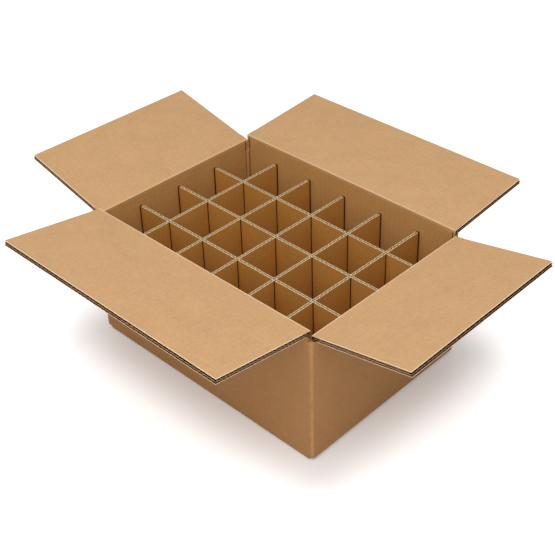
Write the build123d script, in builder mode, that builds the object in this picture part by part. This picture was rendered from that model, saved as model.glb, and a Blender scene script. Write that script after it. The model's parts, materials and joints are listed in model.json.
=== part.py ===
from build123d import *
from math import cos, hypot, radians, sin
import os

os.makedirs("parts", exist_ok=True)

# Bottle shipping box: a slotted corrugated carton with its four top flaps folded out, and
# inside it a set of interlocking corrugated dividers that makes 24 bottle cells.
# Millimetres. X runs along the long side, Z is up, the origin is the centre of the base.

# Carton board, a double wall: two fluted layers between three liners
liner = 0.4
medium = 0.35
inner_flute = 3.4
inner_pitch = 9.4
outer_flute = 2.4
outer_pitch = 8.5

# Divider board, a single wall
divider_board = 4.0
divider_liner = 0.4
divider_medium = 0.35
divider_pitch = 9.6

# Bottle cells, clear of the boards around them; those at the two ends are shorter
cell_length = 64.5
end_cell_length = 60.0
cell_width = 68.0
cells_along = 6
cells_across = 4

# Heights
short_crease = 194.0
divider_height = 166.0

# Folds of the carton: rounded outside, with a rolled bead between two scores inside
corner_radius = 5.0
bead_radius = 3.2
score_depth = 0.7
score_offset = 4.2
bottom_radius = 3.0
bottom_bevel = 1.4
bottom_step = 3.4

# Cuts of the carton
slot_drop = 1.0
bead_drop = 1.0
side_gap = 0.3
seam_gap = 6.0

# Glue tab inside the one corner that isn't folded, pressed thin where it is glued
tab_board = 3.0
tab_width = 35.0
tab_taper = 8.0
tab_gap = 2.0

# Flap folds: the crease line stands off the outer face, and both boards are mitred to it
crease_offset = 0.12
mitre_gap = 0.2
stack_gap = 0.4
shoulder_radius = 2.0

# Angle of each flap above the horizontal, in degrees
front_angle = 8.5
back_angle = 5.0
left_angle = 13.5
right_angle = 11.5

# Cut edges
edge_depth = 1.6
groove_depth = 2.8
groove_stop = 8.0
edge_margin = 0.6

# Dividers
end_gap = 0.8
slot_gap = 0.4
lap_gap = 0.5
divider_corner = 4.0

# Places that follow from the sizes above
board = 3 * liner + inner_flute + outer_flute
pitch_along = cell_length + divider_board
pitch_across = cell_width + divider_board
columns = [(k - cells_along / 2) * pitch_along for k in range(1, cells_along)]
rows = [(k - cells_across / 2) * pitch_across for k in range(1, cells_across)]
half_in_x = columns[-1] + divider_board / 2 + end_cell_length
half_in_y = rows[-1] + divider_board / 2 + cell_width
half_out_x = half_in_x + board
half_out_y = half_in_y + board
long_crease = short_crease + board + stack_gap
slot_floor = short_crease - crease_offset - slot_drop
wall_floor = short_crease - crease_offset - board - bead_drop
flap_half_x = half_in_x - side_gap
flap_half_y = half_in_y - side_gap
flap_depth = half_out_y + crease_offset - seam_gap / 2
inner_floor = 2 * board
divider_top = inner_floor + divider_height
divider_gap = divider_board - 2 * divider_liner


def channels(plane, length, gap, wave, pitch):
    """The open channels of a cut edge: the gap between two liners, less the zigzag medium."""
    count = int((length - wave) // pitch)
    rise = wave * hypot(1, 2 * gap / pitch)
    crest = (gap - rise) / 2 - wave / 4
    middle = [((k - count) * pitch / 2, crest * (-1) ** k) for k in range(2 * count + 1)]
    upper = [(x, y + rise / 2) for x, y in middle]
    lower = [(x, y - rise / 2) for x, y in reversed(middle)]
    with BuildSketch(plane) as cut:
        Rectangle(count * pitch + wave, gap)
        Polygon(*upper, *lower, align=None, mode=Mode.SUBTRACT)
    return cut.sketch


# Carton body: four walls with three folded corners and one glued corner, and a closed bottom
with BuildPart() as carton_body:
    with BuildSketch(Plane.XY.offset(bottom_step)) as walls:
        Rectangle(2 * half_out_x, 2 * half_out_y)
        fillet(walls.vertices().sort_by_distance((-half_out_x, -half_out_y))[1:], corner_radius)
    extrude(amount=wall_floor - bottom_step)
    chamfer(carton_body.faces().sort_by(Axis.Z)[0].outer_wire().edges(), bottom_bevel)

    # Outer corners, which reach up to the floor of the slots between the flaps
    with BuildSketch(Plane.XY.offset(wall_floor)):
        add(walls.face().moved(Location((0, 0, wall_floor - bottom_step))))
        Rectangle(2 * half_in_x, 2 * half_out_y, mode=Mode.SUBTRACT)
        Rectangle(2 * half_out_x, 2 * half_in_y, mode=Mode.SUBTRACT)
    extrude(amount=slot_floor - wall_floor)

    # Inside of the walls, with the rolled bead and its two scores at each folded corner
    with BuildSketch() as hollow:
        Rectangle(2 * half_in_x, 2 * half_in_y)
        for side_x, side_y in ((1, 1), (1, -1), (-1, 1)):
            with Locations((side_x * half_in_x, side_y * half_in_y)):
                Circle(bead_radius, mode=Mode.SUBTRACT)
            with Locations(
                (side_x * (half_in_x - score_offset), side_y * half_in_y),
                (side_x * half_in_x, side_y * (half_in_y - score_offset)),
            ):
                RegularPolygon(score_depth, 4)
    extrude(amount=slot_floor, mode=Mode.SUBTRACT)

    # Wall tops between the corner slots, mitred from the crease line down to the inner face
    for crease, inner, outer, half, plane in (
        (long_crease, half_in_y, half_out_y, flap_half_x, Plane.YZ),
        (short_crease, half_in_x, half_out_x, flap_half_y, Plane.XZ),
    ):
        ridge = crease - crease_offset
        for side in (-1, 1):
            with BuildSketch(plane) as wall_top:
                Polygon(
                    (side * inner, wall_floor),
                    (side * outer, wall_floor),
                    (side * outer, ridge),
                    (side * inner, ridge - board),
                    align=None,
                )
            extrude(amount=half, both=True)

    # Bottom: two short flaps folded in first, then two long ones that meet at the seam
    for side in (-1, 1):
        with BuildSketch(Plane.XY.offset(board)):
            with Locations((side * (half_out_x - board / 2 - flap_depth / 2), 0)):
                Rectangle(flap_depth - board, 2 * half_in_y + board)
        extrude(amount=board)
        with BuildSketch(Plane.YZ) as long_flap:
            Polygon(
                (side * seam_gap / 2, 0),
                (side * half_out_y, 0),
                (side * half_out_y, board),
                (side * seam_gap / 2, board),
                align=None,
            )
            fillet(long_flap.vertices().sort_by_distance((side * half_out_y, 0))[0], bottom_radius)
        extrude(amount=flap_half_x, both=True)

    # Glue tab of the left wall, inside the front wall
    with BuildSketch(Plane.XZ.offset(half_in_y)):
        Polygon(
            (-half_in_x, inner_floor + tab_gap),
            (-half_in_x + tab_width, inner_floor + tab_gap + tab_taper),
            (-half_in_x + tab_width, wall_floor - tab_gap - tab_taper),
            (-half_in_x, wall_floor - tab_gap),
            align=None,
        )
    extrude(amount=-tab_board)

    # Glued corner from outside: the front wall's raw edge, and the fold of the tab behind it
    with BuildSketch() as seam:
        with Locations((-half_out_x, -half_in_y)):
            Rectangle(corner_radius, corner_radius, align=(Align.MIN, Align.MIN))
        with Locations((-half_out_x + corner_radius, -half_in_y + corner_radius)):
            Circle(corner_radius, mode=Mode.SUBTRACT)
        Polygon(
            (-half_out_x, -half_out_y + liner),
            (-half_out_x + groove_depth, -half_out_y + liner),
            (-half_out_x, -half_in_y - liner),
            align=None,
        )
    extrude(amount=slot_floor, mode=Mode.SUBTRACT)
carton_body.part.label = "carton_body"
export_step(carton_body.part, "parts/carton_body.step")

# Top flaps: each is mitred at its crease, fluted on its outer edge and grooved along its sides
for name, out_x, out_y, angle, crease, half in (
    ("front_flap", 0, -1, front_angle, long_crease, flap_half_x),
    ("back_flap", 0, 1, back_angle, long_crease, flap_half_x),
    ("left_flap", -1, 0, left_angle, short_crease, flap_half_y),
    ("right_flap", 1, 0, right_angle, short_crease, flap_half_y),
):
    level, up = cos(radians(angle)), sin(radians(angle))
    hinge = Vector(out_x * (half_out_x + crease_offset), out_y * (half_out_y + crease_offset), crease)
    along = Vector(out_x * level, out_y * level, up)
    normal = Vector(-out_x * up, -out_y * up, level)
    across = along.cross(normal)
    bottom, top = crease_offset, crease_offset + board
    with BuildPart() as flap:
        with BuildSketch(Plane(origin=hinge, x_dir=along, z_dir=across)) as section:
            Polygon(
                (bottom + mitre_gap, bottom),
                (flap_depth, bottom),
                (flap_depth, top),
                (top + mitre_gap, top),
                align=None,
            )
            fillet(section.vertices().sort_by_distance((top + mitre_gap, top))[0], shoulder_radius)
        extrude(amount=half, both=True)
        edge_length = 2 * (half - groove_depth - edge_margin)
        for low, gap, pitch in (
            (bottom + liner, outer_flute, outer_pitch),
            (top - liner - inner_flute, inner_flute, inner_pitch),
        ):
            layer = hinge + along * flap_depth + normal * (low + gap / 2)
            edge_plane = Plane(origin=layer, x_dir=across, z_dir=along)
            extrude(
                channels(edge_plane, edge_length, gap, medium, pitch),
                amount=-edge_depth,
                mode=Mode.SUBTRACT,
            )
            with BuildSketch(edge_plane):
                for side in (-1, 1):
                    Polygon(
                        (side * half, -gap / 2),
                        (side * half, gap / 2),
                        (side * (half - groove_depth), -gap / 2),
                        align=None,
                    )
            extrude(amount=groove_stop - flap_depth, mode=Mode.SUBTRACT)
    flap.part.label = name
    export_step(flap.part, f"parts/{name}.step")

# Long dividers: one board from end wall to end wall, slotted from below for each short one
for number, y in enumerate(rows, 1):
    with BuildPart() as long_divider:
        with BuildSketch(Plane.XZ.offset(-y)) as face:
            with Locations((0, inner_floor)):
                Rectangle(2 * (half_in_x - end_gap), divider_height, align=(Align.CENTER, Align.MIN))
            fillet(face.vertices().group_by(Axis.Y)[-1], divider_corner)
            with Locations([(x, inner_floor) for x in columns]):
                Rectangle(
                    divider_board + slot_gap,
                    (divider_height + lap_gap) / 2,
                    align=(Align.CENTER, Align.MIN),
                    mode=Mode.SUBTRACT,
                )
        extrude(amount=divider_board / 2, both=True)
        top_edge = Plane(origin=(0, y, divider_top))
        edge_length = 2 * (half_in_x - end_gap - divider_corner - edge_margin)
        extrude(
            channels(top_edge, edge_length, divider_gap, divider_medium, divider_pitch),
            amount=-edge_depth,
            mode=Mode.SUBTRACT,
        )
    long_divider.part.label = f"long_divider_{number}"
    export_step(long_divider.part, f"parts/long_divider_{number}.step")

# Short dividers: one board from side wall to side wall, slotted from above for each long one
for number, x in enumerate(columns, 1):
    with BuildPart() as short_divider:
        with BuildSketch(Plane.YZ.offset(x)) as face:
            with Locations((0, inner_floor)):
                Rectangle(2 * (half_in_y - end_gap), divider_height, align=(Align.CENTER, Align.MIN))
            fillet(face.vertices().group_by(Axis.Y)[-1], divider_corner)
            with Locations([(y, divider_top) for y in rows]):
                Rectangle(
                    divider_board + slot_gap,
                    (divider_height + lap_gap) / 2,
                    align=(Align.CENTER, Align.MAX),
                    mode=Mode.SUBTRACT,
                )
        extrude(amount=divider_board / 2, both=True)
        half_slot = (divider_board + slot_gap) / 2
        stops = [-half_in_y + end_gap + divider_corner, *rows, half_in_y - end_gap - divider_corner]
        for k in range(cells_across):
            low = stops[k] + edge_margin + (half_slot if k > 0 else 0)
            high = stops[k + 1] - edge_margin - (half_slot if k < cells_across - 1 else 0)
            top_edge = Plane(origin=(x, (low + high) / 2, divider_top), x_dir=(0, 1, 0), z_dir=(0, 0, 1))
            extrude(
                channels(top_edge, high - low, divider_gap, divider_medium, divider_pitch),
                amount=-edge_depth,
                mode=Mode.SUBTRACT,
            )
    short_divider.part.label = f"short_divider_{number}"
    export_step(short_divider.part, f"parts/short_divider_{number}.step")
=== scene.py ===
import json
import math
import random

import bmesh
import bpy
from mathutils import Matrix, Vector


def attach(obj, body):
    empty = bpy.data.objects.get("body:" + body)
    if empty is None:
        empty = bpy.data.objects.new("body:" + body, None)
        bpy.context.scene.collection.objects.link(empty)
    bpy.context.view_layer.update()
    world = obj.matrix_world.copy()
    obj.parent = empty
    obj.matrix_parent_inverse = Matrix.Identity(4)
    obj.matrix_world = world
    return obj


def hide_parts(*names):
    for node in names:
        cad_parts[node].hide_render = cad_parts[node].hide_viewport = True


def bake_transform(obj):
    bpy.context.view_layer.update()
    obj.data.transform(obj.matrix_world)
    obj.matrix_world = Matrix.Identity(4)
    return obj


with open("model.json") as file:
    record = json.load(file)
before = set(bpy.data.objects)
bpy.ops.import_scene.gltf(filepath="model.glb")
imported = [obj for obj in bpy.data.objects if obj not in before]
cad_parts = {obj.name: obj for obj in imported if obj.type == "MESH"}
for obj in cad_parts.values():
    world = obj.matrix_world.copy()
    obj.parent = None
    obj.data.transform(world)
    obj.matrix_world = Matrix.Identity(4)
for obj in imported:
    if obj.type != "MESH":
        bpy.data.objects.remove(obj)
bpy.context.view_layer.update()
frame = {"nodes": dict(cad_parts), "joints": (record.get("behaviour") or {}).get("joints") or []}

MM = 0.001
draw = random.Random(7)

# Sizes from the part's source, in millimetres
BOARD = 7.0
DIVIDER_BOARD = 4.0
CELL_PITCH_X = 68.5
CELL_PITCH_Y = 72.0
END_CELL = 60.0
COLUMNS = [CELL_PITCH_X * k for k in (-2, -1, 0, 1, 2)]
ROWS = [CELL_PITCH_Y * k for k in (-1, 0, 1)]
HALF_IN_X = COLUMNS[-1] + DIVIDER_BOARD / 2 + END_CELL
HALF_IN_Y = 2 * CELL_PITCH_Y - DIVIDER_BOARD / 2
HALF_OUT_X = HALF_IN_X + BOARD
HALF_OUT_Y = HALF_IN_Y + BOARD
CREASE_OFFSET = 0.12
SEAM_GAP = 6.0
SIDE_GAP = 0.3
FLAP_DEPTH = HALF_OUT_Y + CREASE_OFFSET - SEAM_GAP / 2
DIVIDER_HEIGHT = 166.0
DIVIDER_BASE = 2 * BOARD
DIVIDER_TOP = DIVIDER_BASE + DIVIDER_HEIGHT
DIVIDER_END_GAP = 0.8
DIVIDER_CORNER = 4.0
SLOT_GAP = 0.4
LAP_GAP = 0.5

# The boards' papers, as thick as their frayed cut edges look
LINER = 0.45
MEDIUM = 0.34
SIDE_MEDIUM = 0.45
OUTER_FLUTE = 2.6
DIVIDER_LINER = 0.74
DIVIDER_MEDIUM = 0.55

# Real flute pitches of the boards
OUTER_PITCH = 7.4
INNER_PITCH = 8.8
DIVIDER_PITCH = 7.7


# Materials

# Noises of a kraft liner: cycles for each metre, detail and roughness
CLOUDS = (24.0, 3.0, 0.55)
WEAR = (90.0, 2.0, 0.55)
MOTTLES = (190.0, 3.0, 0.65)
STREAKS = (330.0, 2.0, 0.6)
FIBRES = (480.0, 3.0, 0.75)
STRETCH = {"X": (0.10, 1.0, 1.0), "Y": (1.0, 0.10, 1.0)}

# Its spots: cycles for each metre, and how far a spot reaches in its cell
HAIRS = (260.0, 0.17)
FLECKS = (420.0, 0.13)

# Noises of a cut edge
TEARS = (520.0, 3.0, 0.7)
TORN_FIBRES = (1500.0, 2.0, 0.7)

# How much each noise changes a liner's brightness
CLOUD_LIGHT = 0.16
MOTTLE_LIGHT = 0.20
FIBRE_LIGHT = 0.26
STREAK_LIGHT = 0.12
FLECK_LIGHT = -0.17
HAIR_LIGHT = 0.17
TINT_SPREAD = 1.2
TORN_FIBRE_SHARE = 0.7

# How high each one stands in a liner's surface
MOTTLE_RISE = 0.5
FIBRE_RISE = 0.8
STREAK_RISE = 0.3
FLUTE_RISE = 0.10

# Surfaces: a bump's strength and its depth in metres, roughness, how much that varies, and gloss
LINER_BUMP = (0.45, 0.00012)
LINER_ROUGHNESS = 0.8
LINER_SPREAD = 0.15
LINER_GLOSS = 0.25
EDGE_BUMP = (0.6, 0.0002)
EDGE_ROUGHNESS = 0.9
EDGE_SPREAD = 0.1
EDGE_GLOSS = 0.15

# The pale folded outer corners, partly real wear and partly painted highlight: where the paleness starts,
# how softly, and how patchy it is
CORNER_INSET = 3.6
CORNER_SOFT = 2.2
WEAR_MIDDLE = 0.9
WEAR_SPREAD = 3.0

# Lines of painted shade inside the box: half their width, and their soft edge
BEHIND_DIVIDER = (2.3, 1.0)
CORNER_SCORE = (0.6, 0.7)
CORNER_SCORE_INSET = 4.2
CROSSING = (2.6, 0.9)
OWN_END = (1.0, 0.8)
SPANS = {"X": (CELL_PITCH_X, HALF_IN_X), "Y": (CELL_PITCH_Y, HALF_IN_Y)}

# Colours
INSIDE = (0.632, 0.379, 0.184)
# The same inner liner as the flaps' tops, darker and more saturated on the walls: painted shade
SHADED_WALL_INSIDE = (0.602, 0.325, 0.107)
OUTSIDE = (0.500, 0.258, 0.100)
DIVIDER = (0.600, 0.283, 0.059)
# The colour of the lines of painted shade
PAINTED_SHADE = (0.085, 0.024, 0.006)
WARMER = (1.02, 0.985, 0.94)
COOLER = (0.985, 1.015, 1.05)
WHITE = (1.0, 1.0, 1.0, 1.0)


def add_node(tree, kind, inputs=None, **settings):
    """A new shader node, with its settings and its inputs, which are values or other sockets."""
    made = tree.nodes.new(kind)
    for key, value in settings.items():
        setattr(made, key, value)
    for key, value in (inputs or {}).items():
        socket = made.inputs[key]
        if isinstance(value, bpy.types.NodeSocket):
            tree.links.new(value, socket)
        else:
            socket.default_value = value
    return made


def math_node(tree, operation, first, second=0.0, clamp=False):
    """What one operation makes of two values or sockets."""
    settings = {"operation": operation, "use_clamp": clamp}
    return add_node(tree, "ShaderNodeMath", {0: first, 1: second}, **settings).outputs[0]


def mix_node(tree, share, first, second):
    """One colour where share is zero, and the other where it is one."""
    inputs = {0: share, 6: first, 7: second}
    return add_node(tree, "ShaderNodeMix", inputs, data_type="RGBA").outputs[2]


def scaled_colour(tree, colour, brightness):
    """A colour made lighter or darker."""
    inputs = {0: colour, "Scale": brightness}
    return add_node(tree, "ShaderNodeVectorMath", inputs, operation="SCALE").outputs[0]


def noise(tree, place, scale, detail, roughness):
    """Noise about zero, from about -0.5 to 0.5."""
    inputs = {"Vector": place, "Scale": scale, "Detail": detail, "Roughness": roughness}
    made = add_node(tree, "ShaderNodeTexNoise", inputs)
    return math_node(tree, "SUBTRACT", made.outputs["Fac"], 0.5)


def spots(tree, place, scale, reach):
    """One in small spots, and zero between them."""
    cells = add_node(tree, "ShaderNodeTexVoronoi", {"Vector": place, "Scale": scale}, feature="F1")
    return math_node(tree, "LESS_THAN", cells.outputs["Distance"], reach)


def weighted_sum(tree, parts, start=0.0):
    """start plus each socket times its weight."""
    total = start
    for socket, weight in parts:
        scaled = math_node(tree, "MULTIPLY", socket, weight)
        total = math_node(tree, "ADD", scaled, total)
    return total


def washboard(tree, separate, across, pitch):
    """The flutes' faint waves in a liner: a sine along one axis of the board."""
    turns = math_node(tree, "MULTIPLY", separate.outputs[across], 2 * math.pi / (pitch * MM))
    return math_node(tree, "SINE", turns)


def worn_and_highlit_corner(tree, separate, place):
    """The patchy paleness of the folded vertical corners, partly real wear and partly painted highlight,
    and zero on the walls.
    """
    masks = []
    for axis, half in (("X", HALF_OUT_X), ("Y", HALF_OUT_Y)):
        size = math_node(tree, "ABSOLUTE", separate.outputs[axis])
        shifted = math_node(tree, "SUBTRACT", size, (half - CORNER_INSET) * MM)
        masks.append(math_node(tree, "MULTIPLY", shifted, 1 / (CORNER_SOFT * MM), clamp=True))
    patches = weighted_sum(tree, [(noise(tree, place, *WEAR), WEAR_SPREAD)], WEAR_MIDDLE)
    return math_node(tree, "MULTIPLY", math_node(tree, "MULTIPLY", *masks), patches)


def within(tree, away, reach, soft):
    """One where a distance is less than reach, and zero past the soft edge."""
    inside = math_node(tree, "SUBTRACT", (reach + soft) * MM, away)
    return math_node(tree, "MULTIPLY", inside, 1 / (soft * MM), clamp=True)


def near_lines(tree, socket, pitch, reach, soft):
    """One within reach of each multiple of a pitch along an axis, and zero between."""
    away = math_node(tree, "PINGPONG", socket, pitch * MM / 2)
    return within(tree, away, reach, soft)


def near_value(tree, socket, value, reach, soft):
    """One within reach of plus or minus a value along an axis, and zero elsewhere."""
    size = math_node(tree, "ABSOLUTE", socket)
    away = math_node(tree, "ABSOLUTE", math_node(tree, "SUBTRACT", size, value * MM))
    return within(tree, away, reach, soft)


def wall_shade_lines(tree, separate, across):
    """Painted shade on the walls' inside: a painted shadow behind each divider's end, and painted shade in
    the corner scores.
    """
    pitch, half = SPANS[across]
    line = near_lines(tree, separate.outputs[across], pitch, *BEHIND_DIVIDER)
    below = math_node(tree, "SUBTRACT", DIVIDER_TOP * MM, separate.outputs["Z"])
    below = math_node(tree, "MULTIPLY", below, 1 / MM, clamp=True)
    behind = math_node(tree, "MULTIPLY", line, below)
    fold = near_value(tree, separate.outputs[across], half - CORNER_SCORE_INSET, *CORNER_SCORE)
    return math_node(tree, "MAXIMUM", behind, fold)


def divider_shade_lines(tree, separate, across):
    """Painted shade on a divider: a painted shadow where another one crosses it, and at its own two ends.
    """
    pitch, half = SPANS[across]
    crossing = near_lines(tree, separate.outputs[across], pitch, *CROSSING)
    end = near_value(tree, separate.outputs[across], half - DIVIDER_END_GAP, *OWN_END)
    return math_node(tree, "MAXIMUM", crossing, end)


def new_material(name):
    """A material, with its node tree, its shader and the place of each point on the object."""
    material = bpy.data.materials.new(name)
    material.use_nodes = True
    tree = material.node_tree
    place = add_node(tree, "ShaderNodeTexCoord").outputs["Object"]
    return material, tree, tree.nodes["Principled BSDF"], place


def finish(tree, shader, colour, height, bump, roughness, gloss):
    """Gives a paper's colour, bump, roughness and gloss to its shader."""
    strength, distance = bump
    inputs = {"Height": height, "Strength": strength, "Distance": distance}
    normal = add_node(tree, "ShaderNodeBump", inputs).outputs[0]
    tree.links.new(colour, shader.inputs["Base Color"])
    tree.links.new(roughness, shader.inputs["Roughness"])
    tree.links.new(normal, shader.inputs["Normal"])
    shader.inputs["Specular IOR Level"].default_value = gloss


def patchy_tint(tree, colour, mottles):
    """A colour that is a little warmer in some patches and cooler in others."""
    spread = math_node(tree, "MULTIPLY", mottles, TINT_SPREAD)
    share = math_node(tree, "ADD", spread, 0.5, clamp=True)
    warmer = (*[c * k for c, k in zip(colour, WARMER)], 1.0)
    cooler = (*[c * k for c, k in zip(colour, COOLER)], 1.0)
    return mix_node(tree, share, warmer, cooler)


def kraft(name, colour, across, pitch, waves=0.008, corner_wear_and_highlight=0.0, shade_lines=None):
    """Kraft liner: cloudy colour, short fibres, streaks along the board and the flutes' faint waves; it
    may add pale outer corners, partly wear and partly painted highlight, and lines of painted shade.
    """
    material, tree, shader, place = new_material(name)
    separate = add_node(tree, "ShaderNodeSeparateXYZ", {0: place})
    stretched = {"Vector": place, "Scale": STRETCH[across]}
    streaked = add_node(tree, "ShaderNodeMapping", stretched, vector_type="POINT").outputs[0]
    mottles = noise(tree, place, *MOTTLES)
    fibres = noise(tree, place, *FIBRES)
    streaks = noise(tree, streaked, *STREAKS)
    flutes = washboard(tree, separate, across, pitch)
    lights = [
        (noise(tree, place, *CLOUDS), CLOUD_LIGHT),
        (mottles, MOTTLE_LIGHT),
        (fibres, FIBRE_LIGHT),
        (streaks, STREAK_LIGHT),
        (spots(tree, streaked, *FLECKS), FLECK_LIGHT),
        (spots(tree, place, *HAIRS), HAIR_LIGHT),
        (flutes, waves),
    ]
    if corner_wear_and_highlight:
        lights.append((worn_and_highlit_corner(tree, separate, place), corner_wear_and_highlight))
    tinted = scaled_colour(tree, patchy_tint(tree, colour, mottles), weighted_sum(tree, lights, 1.0))
    # Lines of painted shade darken the liner
    if shade_lines:
        tinted = mix_node(tree, shade_lines(tree, separate, across), tinted, (*PAINTED_SHADE, 1.0))
    rises = [(mottles, MOTTLE_RISE), (fibres, FIBRE_RISE), (streaks, STREAK_RISE), (flutes, FLUTE_RISE)]
    height = weighted_sum(tree, rises, 0.5)
    roughness = weighted_sum(tree, [(mottles, LINER_SPREAD), (fibres, LINER_SPREAD)], LINER_ROUGHNESS)
    finish(tree, shader, tinted, height, LINER_BUMP, roughness, LINER_GLOSS)
    return material


def cut_paper(name, colour, contrast=0.35):
    """The torn fibres of a cut edge."""
    material, tree, shader, place = new_material(name)
    tears = noise(tree, place, *TEARS)
    fibres = noise(tree, place, *TORN_FIBRES)
    brightness = weighted_sum(tree, [(tears, contrast), (fibres, contrast * TORN_FIBRE_SHARE)], 1.0)
    tinted = scaled_colour(tree, colour, brightness)
    roughness = weighted_sum(tree, [(tears, EDGE_SPREAD)], EDGE_ROUGHNESS)
    finish(tree, shader, tinted, fibres, EDGE_BUMP, roughness, EDGE_GLOSS)
    return material


inside_x = kraft("inner_liner_x", INSIDE, "X", INNER_PITCH)
inside_y = kraft("inner_liner_y", INSIDE, "Y", INNER_PITCH)
# The outer liner's folded corners are paler: partly real wear, partly painted highlight
outside_x = kraft("outer_liner_x", OUTSIDE, "X", OUTER_PITCH, corner_wear_and_highlight=0.27)
outside_y = kraft("outer_liner_y", OUTSIDE, "Y", OUTER_PITCH, corner_wear_and_highlight=0.27)
# The walls' liner is the inner liner made darker as painted shade; walls and dividers both carry lines of
# painted shade
shaded_wall_x = kraft("shaded_wall_liner_x", SHADED_WALL_INSIDE, "X", INNER_PITCH, waves=0.015, shade_lines=wall_shade_lines)
shaded_wall_y = kraft("shaded_wall_liner_y", SHADED_WALL_INSIDE, "Y", INNER_PITCH, waves=0.015, shade_lines=wall_shade_lines)
divider_x = kraft("divider_liner_x", DIVIDER, "X", DIVIDER_PITCH, waves=0.015, shade_lines=divider_shade_lines)
divider_y = kraft("divider_liner_y", DIVIDER, "Y", DIVIDER_PITCH, waves=0.015, shade_lines=divider_shade_lines)
cut_edge = cut_paper("cut_edge", (1.0, 0.77, 0.50))
# Near black inside the flutes and the fold, far darker than the fluting's cut edge: painted shade
shaded_fluting = cut_paper("fluting_paper_shade", (0.020, 0.0045, 0.0012))
fluting_edge = cut_paper("fluting_edge", (0.66, 0.37, 0.20), 0.4)
divider_edge = cut_paper("divider_edge", (1.0, 0.79, 0.50), 0.5)
# Near black inside the divider's flutes: painted shade
divider_fluting_shade = cut_paper("divider_fluting_shade", (0.050, 0.016, 0.004))
divider_flute_edge = cut_paper("divider_flute_edge", (1.0, 0.74, 0.43), 0.5)
# Painted shade in dark brown: the crease's score groove, which the mesh lacks, the crease's ends near the
# wall, and the body's upward faces at the top
score_shade = cut_paper("score_line_shade", (0.36, 0.19, 0.075), 0.3)
# A lighter band below the score: a painted highlight on the pressed ridge's shoulder
ridge_highlight = cut_paper("pressed_ridge_highlight", (0.74, 0.46, 0.21), 0.25)
# Paler crease rims, partly stretched fibres and partly painted highlight; the near flaps' copy is lighter
# still, a painted highlight
highlit_rim = cut_paper("highlit_crease", (0.94, 0.72, 0.46), 0.2)
rim = cut_paper("crease", (0.74, 0.49, 0.26), 0.2)


# Meshes

# How unevenly a flute lies: shares of its pitch and of its height, and the range of its phases
FLUTE_DRIFT = 0.035
FLUTE_PRESS = (0.90, 1.0)
PHASES = (0, 6.28)
SPARE_FLUTES = 3
FLUTE_SAMPLES = 12

# How deep a flute's crest sits in its liner, so that no gap shows between them
FLUTE_BITE = 0.03


class Shell:
    """Points and faces of one piece, in the board's own directions, and the material of each face."""

    def __init__(self, place):
        self.place = place
        self.points = []
        self.faces = []
        self.marks = []

    def loft(self, rings, sides, ends):
        """Skins equal closed rings of points; sides are materials, one set or one for each span."""
        count = len(rings[0])
        first = len(self.points)
        for ring in rings:
            self.points += [self.place(*point) for point in ring]
        for k in range(len(rings) - 1):
            low = first + k * count
            span = sides[k] if isinstance(sides[0], tuple) else sides
            for i in range(count):
                j = (i + 1) % count
                self.faces.append((low + i, low + j, low + count + j, low + count + i))
                self.marks.append(span[i % len(span)])
        last = first + (len(rings) - 1) * count
        self.faces.append(tuple(range(first, first + count)))
        self.faces.append(tuple(range(last + count - 1, last - 1, -1)))
        self.marks += ends

    def liner(self, low, high, top, under, cut, fray):
        """A liner between two corners, with its upper edge frayed on the three cut sides."""
        (s0, a0, n0), (s1, a1, n1) = low, high
        wide, drop = fray

        def ring(s, level, reach):
            return [
                (s, a0, level),
                (s, a1 - reach, level),
                (s, a1, n1 - drop),
                (s, a1, n0),
                (s, a0, n0),
            ]

        rings = [
            ring(s0, n1 - drop, wide),
            ring(s0 + wide, n1, wide),
            ring(s1 - wide, n1, wide),
            ring(s1, n1 - drop, wide),
        ]
        edge = (cut, cut, cut, under, FLUTE)
        self.loft(rings, (edge, (top, cut, cut, under, FLUTE), edge), (cut, cut))

    def ribbon(self, line, low, high, thickness, sides, ends, swap=False):
        """A paper ribbon that follows a line of (s, n) points, from depth low to depth high."""
        rings = []
        for k, (s, n) in enumerate(line):
            before, after = line[max(k - 1, 0)], line[min(k + 1, len(line) - 1)]
            ds, dn = after[0] - before[0], after[1] - before[1]
            length = math.hypot(ds, dn)
            os, on = -dn / length * thickness / 2, ds / length * thickness / 2
            ring = [
                (s + os, low, n + on),
                (s + os, high, n + on),
                (s - os, high, n - on),
                (s - os, low, n - on),
            ]
            if swap:
                ring = [(a, s, n) for s, a, n in ring]
            rings.append(ring)
        self.loft(rings, sides, (ends, ends))

    def piece(self, name, materials):
        """The finished object, with its faces turned outwards."""
        mesh = bpy.data.meshes.new(name)
        mesh.from_pydata([tuple(p) for p in self.points], [], self.faces)
        for material in materials:
            mesh.materials.append(material)
        mesh.polygons.foreach_set("material_index", self.marks)
        work = bmesh.new()
        work.from_mesh(mesh)
        bmesh.ops.recalc_face_normals(work, faces=work.faces)
        work.to_mesh(mesh)
        work.free()
        mesh.update()
        made = bpy.data.objects.new(name, mesh)
        bpy.context.scene.collection.objects.link(made)
        return made


def wave(start, end, middle, swing, pitch, phase, samples=FLUTE_SAMPLES):
    """Points of one fluted layer, a sine with slightly uneven flutes."""
    count = max(2, int((end - start) / pitch * samples))
    flutes = int((end - start) / pitch) + SPARE_FLUTES
    drift = [draw.uniform(-FLUTE_DRIFT, FLUTE_DRIFT) * pitch for _ in range(flutes)]
    press = [draw.uniform(*FLUTE_PRESS) for _ in drift]
    line = []
    for k in range(count + 1):
        s = start + (end - start) * k / count
        at = (s - start) / pitch
        cell, part = int(at), at - int(at)
        slip = drift[cell] * (1 - part) + drift[cell + 1] * part
        squeeze = press[cell] * (1 - part) + press[cell + 1] * part
        line.append((s, middle + swing * squeeze * math.cos(2 * math.pi * (s + slip) / pitch + phase)))
    return line


# Flaps

TOP, UNDER, CUT, FLUTE, FLUTE_CUT = range(5)

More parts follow.
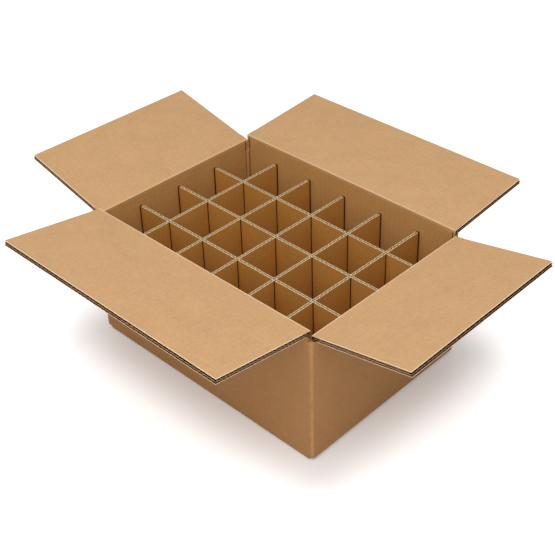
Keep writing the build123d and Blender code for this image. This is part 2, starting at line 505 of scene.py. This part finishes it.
# The three liners from the outer one to the inner one, and the two fluted layers between them
LAYERS = (
    (CREASE_OFFSET, CREASE_OFFSET + LINER),
    (CREASE_OFFSET + LINER + OUTER_FLUTE, CREASE_OFFSET + 2 * LINER + OUTER_FLUTE),
    (CREASE_OFFSET + BOARD - LINER, CREASE_OFFSET + BOARD),
)
FLUTES = (
    (LAYERS[0][1], LAYERS[1][0], OUTER_PITCH),
    (LAYERS[1][1], LAYERS[2][0], INNER_PITCH),
)
LINER_FACES = ((FLUTE, UNDER, CUT), (FLUTE, FLUTE, FLUTE_CUT), (TOP, FLUTE, CUT))
FRAYS = ((0.25, 0.25), (0.15, 0.15), (0.72, 0.26))
RECESSES = (0.0, 0.12, 0.20)
MITRE_GAP = 0.2

# The short stretch of flutes that shows at a flap's two sides
SIDE_DEPTH = 2.2
SIDE_SWING = 0.9
SIDE_END_GAP = 1.0
SIDE_SAMPLES = 10

joints = {joint["child"]: joint for joint in frame["joints"]}


def flap_frame(name, out):
    """Where a flap's own directions lie: across its board, along it from the crease, and normal to it."""
    joint = joints[name]
    hinge = Vector(joint["pos_m"])
    angle = math.radians(180.0 - joint["range_deg"][1])
    along = Vector((out[0] * math.cos(angle), out[1] * math.cos(angle), math.sin(angle)))
    normal = Vector((-out[0] * math.sin(angle), -out[1] * math.sin(angle), math.cos(angle)))
    across = along.cross(normal)

    def place(s, a, n):
        return hinge + (across * s + along * a + normal * n) * MM

    return place, hinge, across, angle


def add_liners(shell, half):
    """The three liners of a flap, each a little shorter than the one outside it."""
    for (low, high), (top, under, cut), fray, recess in zip(LAYERS, LINER_FACES, FRAYS, RECESSES):
        near = (-half + recess, high + MITRE_GAP, low)
        far = (half - recess, FLAP_DEPTH - recess, high)
        shell.liner(near, far, top, under, cut, fray)


def add_flutes(shell, half, side_pitch, crushed):
    """The fluted papers of a flap: along its cut end, and a short stretch at each side."""
    end_crush, side_crush = crushed
    for low, high, pitch in FLUTES:
        middle = (low + high) / 2
        swing = (high - low - MEDIUM) / 2 + FLUTE_BITE
        inner_end = half - side_crush - SIDE_DEPTH
        line = wave(-inner_end, inner_end, middle, swing, pitch, draw.uniform(*PHASES))
        start = high + MITRE_GAP
        end = FLAP_DEPTH - end_crush
        shell.ribbon(line, start, end, MEDIUM, (FLUTE, FLUTE_CUT, FLUTE, FLUTE), FLUTE)
        swing = (high - low - SIDE_MEDIUM) / 2 * SIDE_SWING
        faces = (FLUTE, FLUTE_CUT, FLUTE, FLUTE_CUT)
        for side in (-1, 1):
            near, far = sorted((side * (half - side_crush), side * inner_end))
            phase = draw.uniform(*PHASES)
            line = wave(start, end - SIDE_END_GAP, middle, swing, side_pitch, phase, SIDE_SAMPLES)
            shell.ribbon(line, near, far, SIDE_MEDIUM, faces, FLUTE, swap=True)


def make_flap(name, out, half, side_pitch, crushed, faces):
    """One flap of papers in place of its CAD node, riding on its own hinge."""
    shell = Shell(flap_frame(name, out)[0])
    add_liners(shell, half)
    add_flutes(shell, half, side_pitch, crushed)
    made = shell.piece(f"{name}_sheet", [*faces[:2], cut_edge, shaded_fluting, fluting_edge])
    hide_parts(name)
    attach(made, name)


# Creases

WALL, SCORE_SHADE, RIM, RIDGE, FLAP, EDGE, CORE, OUTER = range(8)

# The bent inner liner, from the wall's face to the flap's top
SKIN = 0.6
PROUD = 0.10
FOLD_RADIUS = 1.7
FOLD_STEPS = 7
FOLD_FOOT = -12.0
FOOT_RISE = 2.5
FOOT_TUCK = 0.1
RIDGE_BELOW = 2.3
SCORE_BELOW = 0.9
RIM_BEYOND = 0.8
FOLD_REACH = 9.0
REACH_RISE = 2.0
REACH_TUCK = 0.25
# How many of the skin's end faces near the wall are in painted shade
SKIN_SHADED_ENDS = 9

# The bent middle liner, the crushed flutes and the outer liner, seen at the crease's two ends; the first
# two in painted shade
MIDDLE_RADIUS = 4.0
MIDDLE_TURNS = range(225, 64, -20)
MIDDLE_INSET = 0.4
MIDDLE_SHADED_ENDS = 5
CORE_INSET = 1.3
CORE_GAP = 0.05
CORE_SHARE = 0.06
CORE_SHIFT = 0.1
ROD_RADIUS = 0.34
ROD_SIDES = 8


def fold_line(angle):
    """The visible line of a crease, up the wall's inner face and over onto the flap's top."""
    inner = CREASE_OFFSET + BOARD
    x = -inner - PROUD
    level, up = math.cos(angle), math.sin(angle)
    top = inner + PROUD
    a = (x + top * up) / level
    z = a * up + top * level
    turn = math.pi / 2 - angle
    tangent = FOLD_RADIUS * math.tan(turn / 2)
    centre = (x + FOLD_RADIUS, z - tangent)
    line = [(-inner + FOOT_TUCK, FOLD_FOOT), (x, FOLD_FOOT + FOOT_RISE)]
    line += [(x, z - tangent - RIDGE_BELOW), (x, z - tangent - SCORE_BELOW)]
    for k in range(FOLD_STEPS + 1):
        t = math.pi - turn * k / FOLD_STEPS
        line.append((centre[0] + FOLD_RADIUS * math.cos(t), centre[1] + FOLD_RADIUS * math.sin(t)))
    on_flap = [(a + tangent + RIM_BEYOND, top), (FOLD_REACH - REACH_RISE, top)]
    on_flap.append((FOLD_REACH, top - REACH_TUCK))
    for a_end, n_end in on_flap:
        line.append((a_end * level - n_end * up, a_end * up + n_end * level))
    return line


def inset(line, depth):
    """The same line, moved sideways towards the hinge."""
    moved = []
    for k, (x, z) in enumerate(line):
        before, after = line[max(k - 1, 0)], line[min(k + 1, len(line) - 1)]
        dx, dz = after[0] - before[0], after[1] - before[1]
        length = math.hypot(dx, dz)
        moved.append((x + dz / length * depth, z - dx / length * depth))
    return moved


def strip(shell, outer, inner, half, marks, ends):
    """A bent sheet between two equal lines, from one end of a crease to the other."""
    first = len(shell.points)
    count = len(outer)
    for s in (-half, half):
        for line in (outer, inner):
            shell.points += [shell.place(s, *point) for point in line]
    near, far = first, first + 2 * count

    def quad(a, b, c, d, mark):
        shell.faces.append((a, b, c, d))
        shell.marks.append(mark)

    for k in range(count - 1):
        quad(near + k, near + k + 1, far + k + 1, far + k, marks[k])
        quad(near + count + k, near + count + k + 1, far + count + k + 1, far + count + k, ends[k])
        quad(near + k, near + k + 1, near + count + k + 1, near + count + k, ends[k])
        quad(far + k, far + k + 1, far + count + k + 1, far + count + k, ends[k])
    for k in (0, count - 1):
        quad(near + k, near + count + k, far + count + k, far + k, ends[min(k, count - 2)])


def add_skin(shell, line, half):
    """The crease's visible liner: its pressed ridge with a painted highlight, its score as a line of
    painted shade, and its rim, paler and with a painted highlight.
    """
    marks = [WALL, WALL, RIDGE, SCORE_SHADE] + [RIM] * (FOLD_STEPS + 1) + [FLAP] * 2
    ends = [SCORE_SHADE] * SKIN_SHADED_ENDS + [EDGE] * (len(marks) - SKIN_SHADED_ENDS)
    strip(shell, line, inset(line, SKIN), half, marks, ends)


def add_middle_liner(shell, half):
    """The bent middle liner, in painted shade, which shows at the crease's two ends."""
    middle = []
    for degrees in MIDDLE_TURNS:
        turn = math.radians(degrees)
        middle.append((MIDDLE_RADIUS * math.cos(turn), MIDDLE_RADIUS * math.sin(turn)))
    ends = [SCORE_SHADE] * MIDDLE_SHADED_ENDS + [EDGE] * (len(middle) - 1 - MIDDLE_SHADED_ENDS)
    strip(shell, middle, inset(middle, LINER), half - MIDDLE_INSET, [CORE] * len(ends), ends)


def add_core(shell, line, half):
    """The inside of the fold, a sheet in painted shade, and the outer liner round which it turns."""
    core_line = inset(line, SKIN + CORE_GAP)[2:-2]
    fan = [(x * CORE_SHARE - CORE_SHIFT, z * CORE_SHARE - CORE_SHIFT) for x, z in core_line]
    core = [CORE] * (len(core_line) - 1)
    strip(shell, core_line, fan, half - CORE_INSET, core, core)
    turns = [2 * math.pi * k / ROD_SIDES for k in range(ROD_SIDES)]
    rod = [(ROD_RADIUS * math.cos(t), ROD_RADIUS * math.sin(t)) for t in turns]
    shell.loft([[(s, *p) for p in rod] for s in (-half, half)], (OUTER,), (OUTER, OUTER))


def make_fold(name, out, half, faces):
    """One bent crease, from the carton's wall over onto its flap."""
    place, hinge, across, angle = flap_frame(name, out)
    outward = Vector((out[0], out[1], 0.0))
    rise = Vector((0.0, 0.0, 1.0))

    def local(s, x, z):
        return hinge + (across * s + outward * x + rise * z) * MM

    shell = Shell(local)
    line = fold_line(angle)
    add_skin(shell, line, half)
    add_middle_liner(shell, half)
    add_core(shell, line, half)
    flap_top, flap_under, wall, crest = faces
    materials = [wall, score_shade, crest, ridge_highlight, flap_top, cut_edge, shaded_fluting, flap_under]
    made = shell.piece(f"{name}_crease", materials)
    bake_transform(made)


LONG_HALF = HALF_IN_X - SIDE_GAP
SHORT_HALF = HALF_IN_Y - SIDE_GAP
NEAR_X = (inside_x, outside_x, shaded_wall_x, highlit_rim)
FAR_X = (inside_x, outside_x, shaded_wall_x, rim)
NEAR_Y = (inside_y, outside_y, shaded_wall_y, highlit_rim)
FAR_Y = (inside_y, outside_y, shaded_wall_y, rim)

# Each flap's way out, half width, flute pitch at its sides, how far its flutes are crushed, its faces; the
# near flaps' crease rims get a painted highlight
FLAPS = (
    ("front_flap", (0, -1), LONG_HALF, 6.2, (0.45, 0.5), NEAR_X),
    ("back_flap", (0, 1), LONG_HALF, 6.2, (0.9, 1.6), FAR_X),
    ("left_flap", (-1, 0), SHORT_HALF, 3.9, (0.6, 0.6), FAR_Y),
    ("right_flap", (1, 0), SHORT_HALF, 3.9, (1.5, 0.5), NEAR_Y),
)
for flap_name, out, half, side_pitch, crushed, faces in FLAPS:
    make_flap(flap_name, out, half, side_pitch, crushed, faces)
    make_fold(flap_name, out, half, faces)


# Dividers

FACE, D_CUT, D_FLUTE, D_FLUTE_CUT = range(4)
RIBBON_FACES = (D_FLUTE, D_FLUTE_CUT, D_FLUTE, D_FLUTE)

# How far the fluted paper stays inside a divider's ends, rounded corners, bottom and top
FLUTE_END = 0.35
FLUTE_CORNER = 0.35 * DIVIDER_CORNER
FLUTE_LOW = DIVIDER_BASE + 0.1
FLUTE_HIGH = DIVIDER_TOP - 0.2
CORNER_STEPS = 6
SLOT_HALF = (DIVIDER_BOARD + SLOT_GAP) / 2
SLOT_DEPTH = (DIVIDER_HEIGHT + LAP_GAP) / 2


def rounded_corner(centre, first_turn):
    """Points of a quarter circle about a centre, from a number of quarter turns."""
    points = []
    for k in range(CORNER_STEPS + 1):
        t = math.pi / 2 * (first_turn + k / CORNER_STEPS)
        points.append((centre[0] + DIVIDER_CORNER * math.cos(t), centre[1] + DIVIDER_CORNER * math.sin(t)))
    return points


def divider_outline(half, slots, slots_below):
    """The outline of one divider sheet, with rounded upper corners and its lap slots."""
    wide, base, top = SLOT_HALF, DIVIDER_BASE, DIVIDER_TOP
    outline = [(-half, base)]
    if slots_below:
        floor = base + SLOT_DEPTH
        for s in slots:
            outline += [(s - wide, base), (s - wide, floor), (s + wide, floor), (s + wide, base)]
    outline.append((half, base))
    level = top - DIVIDER_CORNER
    outline += rounded_corner((half - DIVIDER_CORNER, level), 0)
    if not slots_below:
        floor = top - SLOT_DEPTH
        for s in reversed(slots):
            outline += [(s + wide, top), (s + wide, floor), (s - wide, floor), (s - wide, top)]
    return outline + rounded_corner((DIVIDER_CORNER - half, level), 1)


def add_divider_flutes(shell, half, slots, slots_below):
    """The fluted paper of a divider, between its slots and past the slots' ends."""
    swing = (DIVIDER_BOARD - 2 * DIVIDER_LINER - DIVIDER_MEDIUM) / 2 + FLUTE_BITE
    phase = draw.uniform(*PHASES)
    stops = [-half + FLUTE_END, *slots, half - FLUTE_END]
    for k in range(len(stops) - 1):
        low = stops[k] + (SLOT_HALF if k > 0 else FLUTE_CORNER)
        high = stops[k + 1] - (SLOT_HALF if k < len(stops) - 2 else FLUTE_CORNER)
        line = wave(low, high, 0.0, swing, DIVIDER_PITCH, phase)
        shell.ribbon(line, FLUTE_LOW, FLUTE_HIGH, DIVIDER_MEDIUM, RIBBON_FACES, D_FLUTE)
    if slots_below:
        low, high = DIVIDER_BASE + SLOT_DEPTH, FLUTE_HIGH
    else:
        low, high = FLUTE_LOW, FLUTE_HIGH - SLOT_DEPTH
    for s in slots:
        line = wave(s - SLOT_HALF, s + SLOT_HALF, 0.0, swing, DIVIDER_PITCH, phase)
        shell.ribbon(line, low, high, DIVIDER_MEDIUM, RIBBON_FACES, D_FLUTE)


def make_divider(name, place, half, slots, slots_below, face):
    """One divider of papers in place of its CAD node."""
    shell = Shell(place)
    outline = divider_outline(half, slots, slots_below)
    outer = DIVIDER_BOARD / 2
    for side in (-1, 1):
        rings = [[(s, z, side * n) for s, z in outline] for n in (outer, outer - DIVIDER_LINER)]
        shell.loft(rings, (D_CUT,), (FACE, D_FLUTE))
    add_divider_flutes(shell, half, slots, slots_below)
    papers = [face, divider_edge, divider_fluting_shade, divider_flute_edge]
    made = shell.piece(f"{name}_sheet", papers)
    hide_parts(name)
    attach(made, "carton")


def long_place(y):
    """Where the directions of a long divider lie: along its board, up, and through it."""
    return lambda s, z, n: Vector((s, y + n, z)) * MM


def short_place(x):
    """The same for a short divider."""
    return lambda s, z, n: Vector((x + n, s, z)) * MM


for number, y in enumerate(ROWS, 1):
    half = HALF_IN_X - DIVIDER_END_GAP
    make_divider(f"long_divider_{number}", long_place(y), half, COLUMNS, True, divider_x)

for number, x in enumerate(COLUMNS, 1):
    half = HALF_IN_Y - DIVIDER_END_GAP
    make_divider(f"short_divider_{number}", short_place(x), half, ROWS, False, divider_y)


# Carton body

BODY_MATERIALS = (shaded_wall_x, shaded_wall_y, outside_x, outside_y, score_shade)
SURFACE_SLACK = 0.1
WALL_TOPS = 170.0
FACING_UP = 0.5


def carton_material(centre, normal):
    """Which of the carton's materials one face of the CAD body takes."""
    x, y, z = (abs(v) / MM for v in centre)
    between_walls = x < HALF_IN_X + SURFACE_SLACK and y < HALF_IN_Y + SURFACE_SLACK
    inside = between_walls and z > BOARD - SURFACE_SLACK
    facing_x = abs(normal.x) > abs(normal.y)
    # The body's upward faces near the top, between the creases, take the score's painted shade
    if inside and z > WALL_TOPS and normal.z > FACING_UP:
        return BODY_MATERIALS.index(score_shade)
    if inside:
        return BODY_MATERIALS.index(shaded_wall_y if facing_x else shaded_wall_x)
    return BODY_MATERIALS.index(outside_y if facing_x else outside_x)


body = frame["nodes"]["carton_body"]
body.data.materials.clear()
for material in BODY_MATERIALS:
    body.data.materials.append(material)
for face in body.data.polygons:
    face.material_index = carton_material(face.center, face.normal)


# Floor, light and camera

FLOOR_SIZE = 6.0
FLOOR_DROP = 0.0003
FLOOR_COLOUR = (0.9, 0.9, 0.9, 1.0)
WORLD_LIGHT = 0.36

# What the floor adds to its shaded colour, and how far from the box that grows, in metres: less near the
# box, a painted shadow
NEAR_LIFT = 0.20
FAR_LIFT = 0.62
SHADOW_REACH = 0.100
SHADOW_SHIFT = 9.0

# Each lamp's place, what it points at, its side in metres and its power
LIGHTS = (
    ("key", (0.35, -0.45, 1.6), (0.05, -0.05, 0.1), 1.8, 19.0),
    ("fill", (0.3, -1.9, 1.75), (0, 0, 0.05), 1.4, 4.6),
)

# The camera that was fitted to the photograph, with its centre in the photograph's pixels
PHOTO = 555.0
AZIMUTH = math.radians(42.27)
ELEVATION = math.radians(34.42)
DISTANCE = 1.5271
FOCAL_PIXELS = 1084.8
CENTRE_X = 325.0
CENTRE_Y = 243.6
TARGET = Vector((0.0328, 0.0652, 0.15))
SENSOR = 36.0


def background_rays(tree):
    """One for a ray that the camera, a gloss or a clear surface sends, and zero for a lighting ray."""
    path = add_node(tree, "ShaderNodeLightPath")
    seen = math_node(tree, "ADD", path.outputs["Is Camera Ray"], path.outputs["Is Glossy Ray"])
    return math_node(tree, "ADD", seen, path.outputs["Is Transmission Ray"], clamp=True)


def beyond_box(tree, separate):
    """Zero on the floor under the box, and one around it."""
    over = []
    for axis, half in (("X", HALF_IN_X), ("Y", HALF_IN_Y)):
        size = math_node(tree, "ABSOLUTE", separate.outputs[axis])
        over.append(math_node(tree, "SUBTRACT", size, half * MM))
    return math_node(tree, "MULTIPLY", math_node(tree, "MAXIMUM", *over), 1 / MM, clamp=True)


def distance_from_box(tree, separate):
    """How far a point of the floor lies from the box, which counts as a little further right, for the
    painted shadow.
    """
    squares = []
    for axis, half, shift in (("X", HALF_OUT_X, SHADOW_SHIFT), ("Y", HALF_OUT_Y, 0.0)):
        shifted = math_node(tree, "SUBTRACT", separate.outputs[axis], shift * MM)
        size = math_node(tree, "ABSOLUTE", shifted)
        beyond = math_node(tree, "MAXIMUM", math_node(tree, "SUBTRACT", size, half * MM), 0.0)
        squares.append(math_node(tree, "MULTIPLY", beyond, beyond))
    return math_node(tree, "SQRT", math_node(tree, "ADD", *squares))


def floor_lift_and_painted_shadow(tree):
    """What the floor adds to its shaded colour: least beside the box, which paints a deeper shadow there.
    """
    place = add_node(tree, "ShaderNodeTexCoord").outputs["Object"]
    separate = add_node(tree, "ShaderNodeSeparateXYZ", {0: place})
    ramp = {0: distance_from_box(tree, separate), 1: 0.0, 2: SHADOW_REACH, 3: NEAR_LIFT, 4: FAR_LIFT}
    lift = add_node(tree, "ShaderNodeMapRange", ramp, interpolation_type="SMOOTHSTEP").outputs[0]
    return math_node(tree, "MULTIPLY", lift, beyond_box(tree, separate))


def make_floor():
    """A white floor that takes the box's shadow, has a painted shadow round the box, and is as bright as
    the world far off.
    """
    corners = [(FLOOR_SIZE * x, FLOOR_SIZE * y, 0) for x, y in ((-1, -1), (1, -1), (1, 1), (-1, 1))]
    mesh = bpy.data.meshes.new("floor")
    mesh.from_pydata(corners, [], [(0, 1, 2, 3)])
    floor = bpy.data.objects.new("floor", mesh)
    floor.location.z = -FLOOR_DROP
    bpy.context.scene.collection.objects.link(floor)
    material = bpy.data.materials.new("white_floor")
    material.use_nodes = True
    tree = material.node_tree
    tree.nodes.clear()
    diffuse = add_node(tree, "ShaderNodeBsdfDiffuse", {"Color": FLOOR_COLOUR})
    lift = math_node(tree, "MULTIPLY", background_rays(tree), floor_lift_and_painted_shadow(tree))
    glow = add_node(tree, "ShaderNodeEmission", {"Color": WHITE, "Strength": lift})
    both = add_node(tree, "ShaderNodeAddShader", {0: diffuse.outputs[0], 1: glow.outputs[0]})
    add_node(tree, "ShaderNodeOutputMaterial", {"Surface": both.outputs[0]})
    mesh.materials.append(material)


def make_world():
    """A world that is white where it is seen and weaker as a light."""
    world = bpy.data.worlds.new("studio")
    bpy.context.scene.world = world
    world.use_nodes = True
    tree = world.node_tree
    tree.nodes.clear()
    strength = weighted_sum(tree, [(background_rays(tree), 1.0 - WORLD_LIGHT)], WORLD_LIGHT)
    back = add_node(tree, "ShaderNodeBackground", {"Color": WHITE, "Strength": strength})
    add_node(tree, "ShaderNodeOutputWorld", {"Surface": back.outputs[0]})


def make_light(name, place, target, size, power):
    """A square lamp that points at a target."""
    data = bpy.data.lights.new(name, "AREA")
    data.shape = "SQUARE"
    data.size = size
    data.energy = power
    light = bpy.data.objects.new(name, data)
    light.location = place
    light.rotation_mode = "QUATERNION"
    light.rotation_quaternion = (Vector(target) - Vector(place)).to_track_quat("-Z", "Y")
    bpy.context.scene.collection.objects.link(light)


def make_camera():
    """The photograph's camera, which looks along its own centre and is shifted in its frame."""
    level = math.cos(ELEVATION)
    back = Vector((math.sin(AZIMUTH) * level, -math.cos(AZIMUTH) * level, math.sin(ELEVATION)))
    data = bpy.data.cameras.new("camera")
    data.sensor_width = SENSOR
    data.lens = FOCAL_PIXELS / PHOTO * SENSOR
    data.shift_x = (PHOTO / 2 - CENTRE_X) / PHOTO
    data.shift_y = (CENTRE_Y - PHOTO / 2) / PHOTO
    camera = bpy.data.objects.new("camera", data)
    camera.location = TARGET + back * DISTANCE
    camera.rotation_mode = "QUATERNION"
    camera.rotation_quaternion = (-back).to_track_quat("-Z", "Y")
    bpy.context.scene.collection.objects.link(camera)
    bpy.context.scene.camera = camera


make_floor()
make_world()
for light in LIGHTS:
    make_light(*light)
make_camera()
bpy.context.scene.view_settings.view_transform = "Standard"
